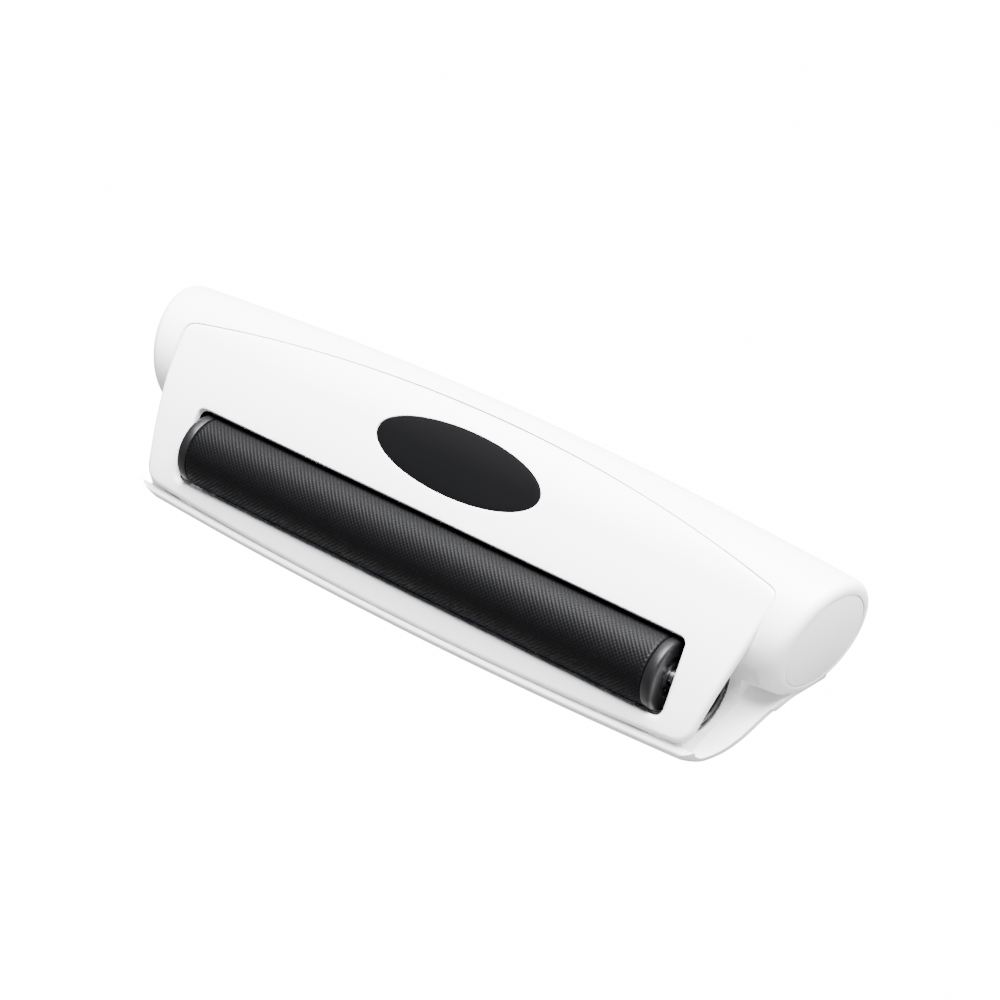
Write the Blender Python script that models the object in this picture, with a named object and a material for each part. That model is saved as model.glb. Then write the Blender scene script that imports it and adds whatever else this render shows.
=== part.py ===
"""Lint roller with a snap-in roller, a lift-off cover and a push-button latch.

Sizes are millimetres in the object's own frame: x along the roller, u from the nose to the
barrel, n out of the cover. The origin is the middle of the button on the cover surface.
stand_up() turns the finished assembly onto its resting lines and into metres.
"""
import math

import bpy
import bmesh
from mathutils import Matrix, Vector

# ---- overall form -------------------------------------------------------------------------
millimetre = 0.001
end_face_x = 87.0            # end disc centre, measured along x
end_face_slant = 0.2236      # end faces lean inwards toward the nose
barrel_height = 13.9         # half height of the barrel, the same along its length
barrel_depth = 17.5          # half depth of the barrel at mid length
barrel_bow = 0.00051         # loss of half depth per square millimetre of x
wall = 1.8                   # moulded wall
clearance = 0.3              # gap between neighbouring pieces
rim_round = 2.2              # rounding where the barrel meets its end face

# ---- tray and nose ------------------------------------------------------------------------
tray_line = [(-6.0, -26.5), (-9.6, -23.6), (-13.5, -20.4), (-16.5, -19.0), (-19.5, -17.9),
             (-23.0, -16.9), (-27.0, -16.1), (-31.0, -15.6), (-33.8, -14.9), (-35.4, -13.7),
             (-36.05, -12.0), (-36.1, -10.0), (-35.7, -8.3)]
nose_bow = 1.95              # the nose is this much further back at its ends
nose_top = -8.3
body_side = [(91.0, 18.0), (83.4, -13.6), (82.1, -16.8), (80.5, -22.9), (79.4, -25.9),
             (77.9, -28.7), (76.2, -31.0), (74.5, -32.8), (72.2, -34.0), (69.0, -35.2),
             (64.0, -37.5)]
bulkhead_outer = [(75.3, 20.0), (75.3, -19.0), (73.2, -28.0), (72.3, -33.0), (71.6, -40.0)]
bulkhead_wall = 3.8
chamber_ceiling = 8.0
land_depth = 0.15            # flats where the body rests

# ---- cover --------------------------------------------------------------------------------
cover_wall = 1.8
cover_radius = 80.0          # convex across the roller
cover_rear_middle = 12.8
cover_rear_corner = (79.4, 3.5)
cover_side = [(78.3, -7.0), (76.8, -15.5), (74.9, -25.0)]
cover_front_corner = (73.7, -31.7)
cover_front_middle = -34.4
cover_corner_rear_round = 3.0
cover_corner_front_round = 5.0
slot_half_length = 66.0
slot_rear = -12.45
slot_front = -28.8
slot_round = 2.2

# ---- roller -------------------------------------------------------------------------------
roller_u = -20.3
roller_n = -6.2
roller_radius = 8.0
roller_half_length = 64.3
roller_cap_width = 2.8
sleeve_wall = 1.3
core_wall = 2.6
axle_radius = 1.5
axle_half_length = 72.0
block_radius = 8.4
block_inner_x = 66.6
block_outer_x = 73.0
block_top_drop = 0.8         # block top below the cover underside

# ---- button and latch ---------------------------------------------------------------------
button_half_length = 21.67
button_half_width = 7.33
button_recess = 0.15
button_thick = 1.6
button_travel = 1.2
latch_top = -4.6
latch_plate = 1.2
latch_half_width = 4.5
hook_tip = 11.3
hook_top = -9.5
hook_thick = 1.4
catch_edge = 11.6
guide_top = -6.2
guide_plate = 1.2
guide_half_length = 32.0
boss_x = 29.0
boss_radius = 2.4
screw_radius = 0.8
screw_head_radius = 1.6

# ---- end caps and comb --------------------------------------------------------------------
end_disc_radius = 11.3       # rim of the recess, so the disc is smaller by the clearance
end_disc_thick = 1.8
end_shell = 4.1              # shell round the hollow ends, thick enough to seat the cover
spigot_radius = 8.4
spigot_wall = 1.6
spigot_depth = 4.0
comb_half_length = 61.0
comb_thick = 0.9
comb_teeth = 41

made = []


# ---- materials ----------------------------------------------------------------------------
def material(name, colour, roughness, metallic):
    found = bpy.data.materials.get(name) or bpy.data.materials.new(name)
    found.use_nodes = True
    shader = found.node_tree.nodes["Principled BSDF"]
    shader.inputs["Base Color"].default_value = (*colour, 1.0)
    shader.inputs["Roughness"].default_value = roughness
    shader.inputs["Metallic"].default_value = metallic
    found.diffuse_color = (*colour, 1.0)
    return found


def white_abs():
    return material("white_abs", (0.86, 0.86, 0.87), 0.42, 0.0)


def black_abs():
    return material("black_abs", (0.02, 0.02, 0.023), 0.5, 0.0)


def matt_black():
    return material("matt_black_soft_touch", (0.022, 0.022, 0.026), 0.75, 0.0)


def black_rubber():
    return material("black_rubber", (0.018, 0.017, 0.02), 0.6, 0.0)


def grey_pom():
    return material("grey_acetal", (0.42, 0.42, 0.44), 0.45, 0.0)


def bright_steel():
    return material("bright_steel", (0.62, 0.62, 0.63), 0.28, 1.0)


# ---- mesh helpers -------------------------------------------------------------------------
def new_object(name, rings, caps=True):
    """Closed skin over a list of equal rings of (x, u, n) points."""
    mesh = bpy.data.meshes.new(name)
    shape = bmesh.new()
    rows = [[shape.verts.new(Vector(point) * millimetre) for point in ring] for ring in rings]
    count = len(rows[0])
    for lower, upper in zip(rows, rows[1:]):
        for i in range(count):
            j = (i + 1) % count
            shape.faces.new((lower[i], lower[j], upper[j], upper[i]))
    if caps:
        shape.faces.new(rows[0][::-1])
        shape.faces.new(rows[-1])
    bmesh.ops.recalc_face_normals(shape, faces=shape.faces)
    shape.to_mesh(mesh)
    shape.free()
    thing = bpy.data.objects.new(name, mesh)
    bpy.context.scene.collection.objects.link(thing)
    return thing


def x_prism(name, outline, start, stop):
    return new_object(name, [[(x, u, n) for u, n in outline] for x in (start, stop)])


def plan_prism(name, outline, low, high):
    return new_object(name, [[(x, u, n) for x, u in outline] for n in (low, high)])


def box(name, x, u, n):
    return plan_prism(name, [(x[0], u[0]), (x[1], u[0]), (x[1], u[1]), (x[0], u[1])], n[0], n[1])


def turned(name, profile, u, n, count):
    """Solid of revolution about a line along x; profile is (x, radius) and closes on the axis
    or on itself."""
    rings = []
    for x, radius in profile:
        rings.append([(x, u + radius * math.cos(math.tau * i / count),
                       n + radius * math.sin(math.tau * i / count)) for i in range(count)])
    return new_object(name, rings)


def tube(name, profile, u, n, count):
    """Ring of revolution about a line along x; the profile is a closed loop."""
    rings = []
    for x, radius in profile:
        rings.append([(x, u + radius * math.cos(math.tau * i / count),
                       n + radius * math.sin(math.tau * i / count)) for i in range(count)])
    rings.append(rings[0])
    thing = new_object(name, rings, caps=False)
    weld(thing, facing=True)
    return thing


def upright(name, profile, x, u, count):
    """Solid of revolution about a line along n; profile is (n, radius)."""
    rings = []
    for n, radius in profile:
        rings.append([(x + radius * math.cos(math.tau * i / count),
                       u + radius * math.sin(math.tau * i / count), n) for i in range(count)])
    return new_object(name, rings)


def weld(thing, distance=1e-6, facing=False):
    shape = bmesh.new()
    shape.from_mesh(thing.data)
    bmesh.ops.remove_doubles(shape, verts=shape.verts, dist=distance)
    bmesh.ops.dissolve_degenerate(shape, edges=shape.edges, dist=distance)
    if facing:
        bmesh.ops.recalc_face_normals(shape, faces=shape.faces)
    shape.to_mesh(thing.data)
    shape.free()


def combine(thing, tool, how):
    step = thing.modifiers.new(how.lower(), "BOOLEAN")
    step.solver = "MANIFOLD"
    step.operation = how
    step.object = tool
    graph = bpy.context.evaluated_depsgraph_get()
    result = bpy.data.meshes.new_from_object(thing.evaluated_get(graph))
    thing.modifiers.clear()
    thing.data = result
    bpy.data.objects.remove(tool)
    weld(thing)
    return thing


def cut(thing, tool):
    return combine(thing, tool, "DIFFERENCE")


def join(thing, tool):
    return combine(thing, tool, "UNION")


def keep(thing, tool):
    return combine(thing, tool, "INTERSECT")


def finish(thing, name, kind, pivot=None):
    """Name the piece, give it its material and put its origin on its joint axis."""
    thing.name = name
    thing.data.name = name
    thing.data.materials.clear()
    thing.data.materials.append(kind())
    if pivot is not None:
        move = Vector(pivot) * millimetre
        thing.data.transform(Matrix.Translation(-move))
        thing.location = move
    thing.data.shade_smooth()
    thing.data.set_sharp_from_angle(angle=math.radians(32))
    made.append(thing)
    return thing


# ---- shared curves ------------------------------------------------------------------------
def rounded(points, radii, steps=5):
    """Polygon with its corners replaced by arcs."""
    out = []
    count = len(points)
    for i, (here, radius) in enumerate(zip(points, radii)):
        if radius <= 0:
            out.append(tuple(here))
            continue
        before = Vector(points[i - 1]) - Vector(here)
        after = Vector(points[(i + 1) % count]) - Vector(here)
        angle = before.angle(after)
        reach = min(radius / math.tan(angle / 2), 0.95 * before.length, 0.95 * after.length)
        first = Vector(here) + before.normalized() * reach
        last = Vector(here) + after.normalized() * reach
        for k in range(steps + 1):
            t = k / steps
            point = first * (1 - t) ** 2 + Vector(here) * 2 * t * (1 - t) + last * t * t
            out.append((point.x, point.y))
    return out


def mirrored(side):
    """Closed plan outline from its right-hand side, listed from the rear to the nose."""
    return side + [(-x, u) for x, u in reversed(side)]


def half_depth(x):
    return barrel_depth - barrel_bow * x * x


def cover_surface(u):
    if u <= 0:
        return -u * u / (2 * cover_radius)
    share = min(1.0, u / barrel_depth)
    return -barrel_height + barrel_height * math.sqrt(1 - share * share)


def below_cover(u, drop):
    """Height of a surface parallel to the cover and the given distance under it."""
    if u <= 0:
        return -u * u / (2 * cover_radius) - drop
    share = min(1.0, u / (barrel_depth - drop))
    return -barrel_height + (barrel_height - drop) * math.sqrt(1 - share * share)


def cover_stations():
    return [-42.0, -38.0, -34.0, -30.0, -26.0, -22.0, -18.0, -14.0, -10.0, -6.0, -3.0, 0.0,
            2.0, 4.0, 6.0, 8.0, 9.5, 11.0, 12.2, 13.2, 14.2]


def cover_outline(grow):
    """Plan outline of the cover, larger all round by grow."""
    corner_x, corner_u = cover_rear_corner
    front_x, front_u = cover_front_corner
    rise = cover_rear_middle - corner_u
    rear = []
    for k in range(0, 9):
        x = corner_x * k / 8
        rear.append((x, cover_rear_middle - rise * (x / corner_x) ** 2))
    drop = cover_front_middle - front_u
    front = []
    for k in range(8, -1, -1):
        x = front_x * k / 8
        front.append((x, cover_front_middle - drop * (x / front_x) ** 2))
    side = rear + list(cover_side) + front
    radii = [0.0] * len(side)
    radii[8] = cover_corner_rear_round
    radii[8 + len(cover_side) + 1] = cover_corner_front_round
    whole = side + [(-x, u) for x, u in reversed(side[1:-1])]
    whole_radii = radii + list(reversed(radii[1:-1]))
    outline = rounded(whole, whole_radii)
    if grow == 0:
        return outline
    return grown(outline, grow)


def grown(outline, amount):
    """Outline moved outwards by amount along its corner normals."""
    count = len(outline)
    area = sum(outline[i - 1][0] * outline[i][1] - outline[i][0] * outline[i - 1][1]
               for i in range(count))
    sense = 1.0 if area > 0 else -1.0
    out = []
    for i in range(count):
        here = Vector(outline[i])
        before = here - Vector(outline[i - 1])
        after = Vector(outline[(i + 1) % count]) - here
        normal = Vector((before.y, -before.x)).normalized()
        normal = normal + Vector((after.y, -after.x)).normalized()
        normal = normal.normalized() * sense
        flat = Vector((before.y, -before.x)).normalized() * sense
        out.append(tuple(here + normal * amount / max(0.5, normal.dot(flat))))
    return out


def offset_line(line, amount):
    """Open line moved to its left-hand side by amount."""
    out = []
    for i, here in enumerate(line):
        first = Vector(line[max(0, i - 1)])
        last = Vector(line[min(len(line) - 1, i + 1)])
        along = (last - first).normalized()
        out.append((here[0] + along.y * amount, here[1] - along.x * amount))
    return out


# ---- body ---------------------------------------------------------------------------------
def barrel_solid(name, shrink, inner_stop):
    """Barrel from one slanted end to the other; shrink makes the hollow inside it."""
    count = 44
    stations = [0.0, 14.0, 28.0, 42.0, 56.0, 68.0, 75.0, 80.0]
    rings = []

    def ring(x, inset, slant):
        depth = half_depth(min(x, end_face_x)) - shrink - inset
        height = barrel_height - shrink - inset
        points = []
        for i in range(count):
            angle = math.tau * (i + 0.5) / count
            u = depth * math.cos(angle)
            points.append((x + slant * u, u, -barrel_height + height * math.sin(angle)))
        return points

    for x in stations:
        if x < inner_stop - 1:
            rings.append(ring(x, 0.0, end_face_slant * max(0.0, x - 62.0) / 18.0))
    if shrink == 0:
        for k in range(5):
            turn = math.radians(22.5 * k)
            rings.append(ring(inner_stop - rim_round * (1 - math.sin(turn)),
                              rim_round * (1 - math.cos(turn)), end_face_slant))
    else:
        rings.append(ring(inner_stop, 0.0, end_face_slant * max(0.0, inner_stop - 62.0) / 18.0
                          if inner_stop < 80.0 else end_face_slant))
    left = [[(-x, u, n) for x, u, n in points] for points in reversed(rings[1:])]
    return new_object(name, left + rings)


def tray_rings(line, stations):
    rings = []
    for x in stations:
        shift = nose_bow * (x / 75.0) ** 2
        rings.append([(x, u + shift * min(1.0, max(0.0, -u / 30.0)), n) for u, n in line])
    return rings


def tray_solid():
    line = list(tray_line)
    inside = [(-33.7, nose_top), (-33.1, -6.9), (-26.0, -3.6), (-14.0, -1.4), (-6.0, -0.6),
              (-1.0, -4.0), (-1.0, -22.0)]
    stations = [-95.0, -80.0, -66.0, -50.0, -33.0, -16.0, 0.0, 16.0, 33.0, 50.0, 66.0, 80.0, 95.0]
    solid = new_object("tray", tray_rings(line + inside, stations))
    outline = mirrored(body_side)
    return keep(solid, plan_prism("plan", outline, -40.0, 12.0))


def tray_hollow_line():
    line = offset_line(tray_line, wall)
    line = [(u, n) for u, n in line if u < -1.0]
    line = [(u, n) for u, n in line if n < nose_top - 0.5]
    return [(-1.0, line[0][1])] + line[1:] + [(-34.2, chamber_ceiling), (-1.0, chamber_ceiling)]


def bulkhead_face(amount):
    return mirrored([(x - amount, u) for x, u in bulkhead_outer])


def chamber():
    """The space between the bulkheads: under the roller and in front of the barrel."""
    stations = [-76.0, -60.0, -40.0, -20.0, 0.0, 20.0, 40.0, 60.0, 76.0]
    hollow = new_object("chamber", tray_rings(tray_hollow_line(), stations))
    return keep(hollow, plan_prism("plan", bulkhead_face(bulkhead_wall), -40.0, 12.0))


def outboard_space():
    """The open ends of the tray, outside the bulkheads."""
    stations = [-99.0, -76.0, -60.0, 0.0, 60.0, 76.0, 99.0]
    hollow = new_object("outboard", tray_rings(tray_hollow_line(), stations))
    return cut(hollow, plan_prism("plan", bulkhead_face(0.0), -40.0, 12.0))


def cover_blank(name, grow, drop, top):
    """Slab with the cover's plan, its underside drop below the cover surface."""
    low = [(u, below_cover(u, drop)) for u in cover_stations()]
    if top is None:
        high = [(u, cover_surface(u)) for u in reversed(cover_stations())]
    else:
        high = [(low[-1][0], top), (low[0][0], top)]
    slab = x_prism(name, low + high, -95.0, 95.0)
    return keep(slab, plan_prism("plan", cover_outline(grow), -30.0, 20.0))


def end_place(thing, side):
    """Turn a piece made about the x axis so that it sits on a slanted end face."""
    angle = math.atan(end_face_slant)
    turn = Matrix.Rotation(-side * angle, 4, "Z")
    flip = Matrix.Scale(-1.0, 4, Vector((1.0, 0.0, 0.0))) if side < 0 else Matrix.Identity(4)
    middle = Vector((side * end_face_x, 0.0, -barrel_height)) * millimetre
    thing.data.transform(Matrix.Translation(middle) @ turn @ flip)
    if side < 0:
        thing.data.flip_normals()
    return thing


def resting_line():
    """Angle and height of the line that touches the barrel and the tray from below."""
    low, high = math.radians(15.0), math.radians(45.0)
    for _ in range(50):
        angle = (low + high) / 2
        barrel = barrel_height * math.cos(angle) + math.hypot(
            barrel_depth * math.sin(angle), barrel_height * math.cos(angle))
        heel = max(-u * math.sin(angle) - n * math.cos(angle) for u, n in tray_line[4:])
        if barrel > heel:
            low = angle
        else:
            high = angle
    return angle, -max(barrel, heel)


def lower_housing():
    body = tray_solid()
    body = cut(body, outboard_space())
    body = cut(body, chamber())
    body = join(body, barrel_solid("barrel", 0.0, end_face_x))
    body = cut(body, chamber_behind())
    hollow = barrel_solid("hollow", end_shell, 86.0)
    walls = keep(hollow, hollow_ends())
    body = cut(body, walls)
    body = cut(body, cover_blank("pocket", clearance, cover_wall + clearance, 12.0))
    for side in (-1, 1):
        recess = turned("recess", [(-end_disc_thick - clearance, end_disc_radius),
                                   (4.0, end_disc_radius)], 0.0, 0.0, 40)
        body = cut(body, end_place(recess, side))
        seat = turned("seat", [(side * 65.0, block_radius + clearance),
                               (side * 80.0, block_radius + clearance)], roller_u, roller_n, 40)
        body = cut(body, seat)
    ledge = box("ledge", (-6.0, 6.0), (catch_edge, 14.6), (hook_top + clearance, -7.6))
    body = join(body, ledge)
    angle, height = resting_line()
    along = Vector((math.cos(angle), -math.sin(angle)))
    up = Vector((math.sin(angle), math.cos(angle)))
    corners = [along * -60 + up * (height - 20), along * 40 + up * (height - 20),
               along * 40 + up * (height + land_depth), along * -60 + up * (height + land_depth)]
    body = cut(body, x_prism("floor", [tuple(c) for c in corners], -99.0, 99.0))
    return finish(body, "lower_housing", white_abs)


def chamber_behind():
    """The bin: the inside of the barrel between the bulkheads, joined to the roller chamber."""
    bin_hollow = barrel_solid("bin", wall, 74.0)
    bin_hollow = keep(bin_hollow, plan_prism("plan", bulkhead_face(bulkhead_wall), -40.0, 12.0))
    mouth = x_prism("mouth", [(-1.5, -21.6), (-12.6, -21.0), (-14.6, -18.3), (-15.8, -17.2),
                              (-18.9, -16.0), (-19.5, 8.0), (-1.5, 8.0)], -71.2, 71.2)
    return join(bin_hollow, mouth)


def hollow_ends():
    outer = [(77.3, 22.0), (99.0, 22.0), (99.0, -22.0), (77.3, -22.0)]
    right = plan_prism("right", outer, -40.0, 12.0)
    left = plan_prism("left", [(-x, u) for x, u in outer], -40.0, 12.0)
    return join(right, left)


def end_cap(side, name):
    disc = end_disc_radius - clearance
    ring = spigot_radius - clearance
    body = turned("cap", [(-end_disc_thick, disc), (-0.3, disc), (0.0, disc - 0.3)], 0.0, 0.0, 40)
    spigot = tube("spigot", [(-end_disc_thick - spigot_depth, ring - spigot_wall),
                             (-end_disc_thick - spigot_depth, ring), (-0.8, ring),
                             (-0.8, ring - spigot_wall)], 0.0, 0.0, 40)
    body = join(body, spigot)
    return finish(end_place(body, side), name, white_abs)


def bearing_block(side, name):
    """Half-round block that carries the axle in a slot open at the top."""
    profile = [(block_inner_x, block_radius - 0.5), (block_inner_x + 0.5, block_radius),
               (block_outer_x - 0.4, block_radius), (block_outer_x, block_radius - 0.4)]
    body = turned("block", [(side * x, r) for x, r in profile], roller_u, roller_n, 40)
    slope = roller_u / -cover_radius
    level = below_cover(roller_u, cover_wall + block_top_drop)
    top = [(roller_u - 20, level - 20 * slope), (roller_u + 20, level + 20 * slope),
           (roller_u + 20, 20.0), (roller_u - 20, 20.0)]
    body = cut(body, x_prism("top", top, -99.0, 99.0))
    fit = axle_radius + clearance
    slot = [(roller_u - fit, 5.0), (roller_u - fit, roller_n)]
    for k in range(1, 8):
        angle = math.pi + math.pi * k / 8
        slot.append((roller_u + fit * math.cos(angle), roller_n + fit * math.sin(angle)))
    slot += [(roller_u + fit, roller_n), (roller_u + fit, 5.0)]
    reach = sorted((side * (block_inner_x - 1), side * (axle_half_length + clearance)))
    body = cut(body, x_prism("slot", slot, reach[0], reach[1]))
    groove = [(side * (block_outer_x - 0.5), 4.6), (side * (block_outer_x - 0.5), 5.6),
              (side * (block_outer_x + 1), 5.6), (side * (block_outer_x + 1), 4.6)]
    body = cut(body, tube("groove", groove, roller_u, roller_n, 40))
    return finish(body, name, black_abs)


def stripper_comb():
    """Toothed blade that lifts lint off the roller and lets it fall into the barrel."""
    foot = [(-18.8, -15.75), (-15.6, -16.9), (-13.9, -17.8), (-13.3, -16.9), (-15.3, -15.9),
            (-18.4, -14.75)]
    body = x_prism("foot", foot, -comb_half_length, comb_half_length)
    root = Vector((-14.1, -17.2))
    tip = Vector((-14.35, -12.25))
    along = (tip - root).normalized()
    across = Vector((along.y, -along.x))
    length = (tip - root).length
    pitch = 2 * comb_half_length / comb_teeth
    edge = []
    for k in range(comb_teeth):
        left = -comb_half_length + k * pitch
        edge += [(left + 0.25 * pitch, length - 2.4), (left + 0.45 * pitch, length),
                 (left + 0.75 * pitch, length), (left + 0.95 * pitch, length - 2.4)]
    outline = [(comb_half_length, 0.0), (-comb_half_length, 0.0)] + edge
    rings = []
    for shift in (0.0, comb_thick):
        rings.append([(x, *(root + along * v + across * shift)) for x, v in outline])
    body = join(body, new_object("blade", rings))
    return finish(body, "stripper_comb", grey_pom)


# ---- cover group --------------------------------------------------------------------------
def oval(grow, count=48):
    return [((button_half_length + grow) * math.cos(math.tau * i / count),
             (button_half_width + grow) * math.sin(math.tau * i / count)) for i in range(count)]


def top_cover():
    body = cover_blank("cover", 0.0, cover_wall, None)
    corners = [(-slot_half_length, slot_front), (slot_half_length, slot_front),
               (slot_half_length, slot_rear), (-slot_half_length, slot_rear)]
    slot = rounded(corners, [slot_round] * 4)
    body = cut(body, plan_prism("slot", slot, -20.0, 5.0))
    body = cut(body, plan_prism("oval", oval(clearance), -20.0, 5.0))
    for side in (-1, 1):
        boss = upright("boss", [(guide_top + clearance, boss_radius), (-1.0, boss_radius)],
                       side * boss_x, 0.0, 20)
        body = join(body, boss)
        pilot = upright("pilot", [(guide_top - 3, screw_radius + clearance),
                                  (-1.9, screw_radius + clearance)], side * boss_x, 0.0, 16)
        body = cut(body, pilot)
    return finish(body, "top_cover", white_abs)


def oval_button():
    """Push button; a wedge below it drives the latch and two feet keep it in the cover."""
    stations = [-9.0, -6.0, -3.0, 0.0, 2.0, 4.0, 6.0, 8.0, 9.0]
    low = [(u, below_cover(u, button_recess + button_thick)) for u in stations]
    high = [(u, below_cover(u, button_recess)) for u in reversed(stations)]
    body = x_prism("button", low + high, -30.0, 30.0)
    body = keep(body, plan_prism("plan", oval(0.0), -20.0, 5.0))
    wedge = [(-2.0, -1.4), (1.6, -1.4), (1.6, -6.0), (0.0, -6.0), (-2.0, -4.0)]
    body = join(body, x_prism("wedge", wedge, -3.0, 3.0))
    for side in (-1, 1):
        inner = side * (button_half_length - 4.2)
        mid = side * (button_half_length - 1.8)
        tip = side * (button_half_length + 2.6)
        foot = [(inner, -1.2), (inner, -3.3), (tip, -3.3), (tip, -2.45), (mid, -2.45),
                (mid, -1.2)]
        rings = [[(x, u, n) for x, n in foot] for u in (-2.4, 2.4)]
        body = join(body, new_object("foot", rings))
    return finish(body, "oval_button", matt_black, (0.0, 0.0, -1.0))


def latch_bar():
    """Sliding latch: plate under the button, leg and hook under the catch ledge."""
    low = latch_top - latch_plate
    profile = [(-3.6, low), (-3.6, latch_top), (9.0, latch_top), (9.9, latch_top - 0.9),
               (9.9, hook_top), (hook_tip - 0.8, hook_top), (hook_tip, hook_top - 0.8),
               (hook_tip - 0.5, hook_top - hook_thick), (8.4, hook_top - hook_thick), (8.4, low)]
    body = x_prism("latch", profile, -latch_half_width, latch_half_width)
    body = cut(body, box("window", (-3.4, 3.4), (-1.75, 4.4), (low - 1, latch_top + 1)))
    return finish(body, "latch_bar", grey_pom, (0.0, 0.0, latch_top - 0.6))


def latch_guide():
    """Channel that carries the latch, screwed to the two bosses of the cover."""
    low = guide_top - guide_plate
    body = box("plate", (-guide_half_length, guide_half_length), (-3.2, 3.2), (low, guide_top))
    body = join(body, box("pan", (-8.0, 8.0), (-10.0, 6.6), (low, guide_top)))
    for side in (-1, 1):
        inner, outer = sorted((side * (latch_half_width + clearance), side * 6.2))
        body = join(body, box("rail", (inner, outer), (-10.0, 6.6), (guide_top - 0.5, -4.1)))
    body = join(body, box("stop", (-6.2, 6.2), (-10.0, -8.8), (guide_top - 0.5, -3.5)))
    body = cut(body, box("window", (-3.4, 3.4), (-3.2, 4.4), (low - 1, guide_top + 0.1)))
    for side in (-1, 1):
        hole = upright("hole", [(low - 1, screw_radius + clearance),
                                (guide_top + 1, screw_radius + clearance)], side * boss_x, 0.0, 16)
        body = cut(body, hole)
    return finish(body, "latch_guide", grey_pom)


def guide_screw(side, name):
    head = guide_top - guide_plate - clearance
    profile = [(head - 1.0, screw_head_radius - 0.4), (head - 0.8, screw_head_radius),
               (head - 0.1, screw_head_radius), (head, screw_head_radius - 0.1),
               (head, screw_radius), (-2.6, screw_radius), (-2.2, 0.4)]
    body = upright("screw", profile, side * boss_x, 0.0, 16)
    for along, across in ((1.1, 0.22), (0.22, 1.1)):
        body = cut(body, box("cross", (side * boss_x - along, side * boss_x + along),
                             (-across, across), (head - 2.0, head - 0.45)))
    return finish(body, name, bright_steel)


def latch_spring():
    """Coil between the latch and the stop of its guide."""
    start, stop = -8.5, -3.9
    turns, steps, sides = 5, 14, 6
    coil, wire = 0.8, 0.22
    middle = latch_top - 0.25
    rings = []
    for k in range(turns * steps + 1):
        angle = math.tau * k / steps
        u = start + wire + (stop - start - 2 * wire) * k / (turns * steps)
        ring = []
        for j in range(sides):
            turn = math.tau * j / sides
            radius = coil + wire * math.cos(turn)
            ring.append((radius * math.cos(angle), u + wire * math.sin(turn),
                         middle + radius * math.sin(angle)))
        rings.append(ring)
    return finish(new_object("spring", rings), "latch_spring", bright_steel)


# ---- roller group -------------------------------------------------------------------------
def roller_pivot():
    return (0.0, roller_u, roller_n)


def roller_sleeve():
    half = roller_half_length - roller_cap_width
    inner = roller_radius - sleeve_wall
    body = tube("sleeve", [(-half, inner), (-half, roller_radius), (half, roller_radius),
                           (half, inner)], roller_u, roller_n, 48)
    return finish(body, "roller_sleeve", black_rubber, roller_pivot())


def roller_core():
    half = roller_half_length - roller_cap_width - clearance
    outer = roller_radius - sleeve_wall - clearance
    body = tube("core", [(-half, outer - core_wall), (-half, outer), (half, outer),
                         (half, outer - core_wall)], roller_u, roller_n, 32)
    return finish(body, "roller_core", grey_pom, roller_pivot())


def roller_end_cap(side, name):
    """Smooth cap that closes the roller and grips the axle."""
    start = roller_half_length - roller_cap_width + clearance
    bore = axle_radius + clearance
    plug = roller_radius - sleeve_wall - clearance - core_wall - clearance
    loop = [(start - 5.0, bore), (start - 5.0, plug), (start, plug),
            (start, roller_radius - 0.5), (start + 0.4, roller_radius - 0.1),
            (roller_half_length - 0.6, roller_radius - 0.1),
            (roller_half_length, roller_radius - 0.7), (roller_half_length, bore)]
    body = tube("roller cap", [(side * x, r) for x, r in loop], roller_u, roller_n, 40)
    return finish(body, name, black_abs, roller_pivot())


def roller_axle():
    end = axle_half_length
    profile = [(-end, axle_radius - 0.3), (-end + 0.3, axle_radius), (end - 0.3, axle_radius),
               (end, axle_radius - 0.3)]
    body = turned("axle", profile, roller_u, roller_n, 24)
    return finish(body, "roller_axle", bright_steel, roller_pivot())


# ---- assembly -----------------------------------------------------------------------------
def stand_up():
    """Turn the assembly onto its resting lines, centre it over the origin, floor at zero."""
    angle, _ = resting_line()
    turn = Matrix.Rotation(angle, 4, "X")
    for thing in made:
        thing.data.transform(turn)
        thing.location = turn @ thing.location
    points = [thing.location + vertex.co for thing in made for vertex in thing.data.vertices]
    low = Vector([min(p[i] for p in points) for i in range(3)])
    high = Vector([max(p[i] for p in points) for i in range(3)])
    move = Vector(((low.x + high.x) / 2, (low.y + high.y) / 2, low.z))
    for thing in made:
        if thing.location.length == 0.0:
            thing.data.transform(Matrix.Translation(-move))
        else:
            thing.location -= move
    return angle, move, high - low


def main():
    for thing in list(bpy.data.objects):
        bpy.data.objects.remove(thing, do_unlink=True)
    lower_housing()
    end_cap(-1, "end_cap_left")
    end_cap(1, "end_cap_right")
    bearing_block(-1, "bearing_block_left")
    bearing_block(1, "bearing_block_right")
    stripper_comb()
    top_cover()
    oval_button()
    latch_bar()
    latch_guide()
    guide_screw(-1, "guide_screw_left")
    guide_screw(1, "guide_screw_right")
    latch_spring()
    roller_sleeve()
    roller_core()
    roller_end_cap(-1, "roller_end_cap_left")
    roller_end_cap(1, "roller_end_cap_right")
    roller_axle()
    angle, move, size = stand_up()
    print("rest angle", round(math.degrees(angle), 3), "shift mm",
          [round(value * 1000, 3) for value in move], "size mm",
          [round(value * 1000, 2) for value in size])
    for thing in made:
        faces = sum(len(face.vertices) - 2 for face in thing.data.polygons)
        print(thing.name, faces)


main()
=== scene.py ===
import math

import bmesh
import bpy
from mathutils import Matrix, Vector
from mathutils.geometry import delaunay_2d_cdt


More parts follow.
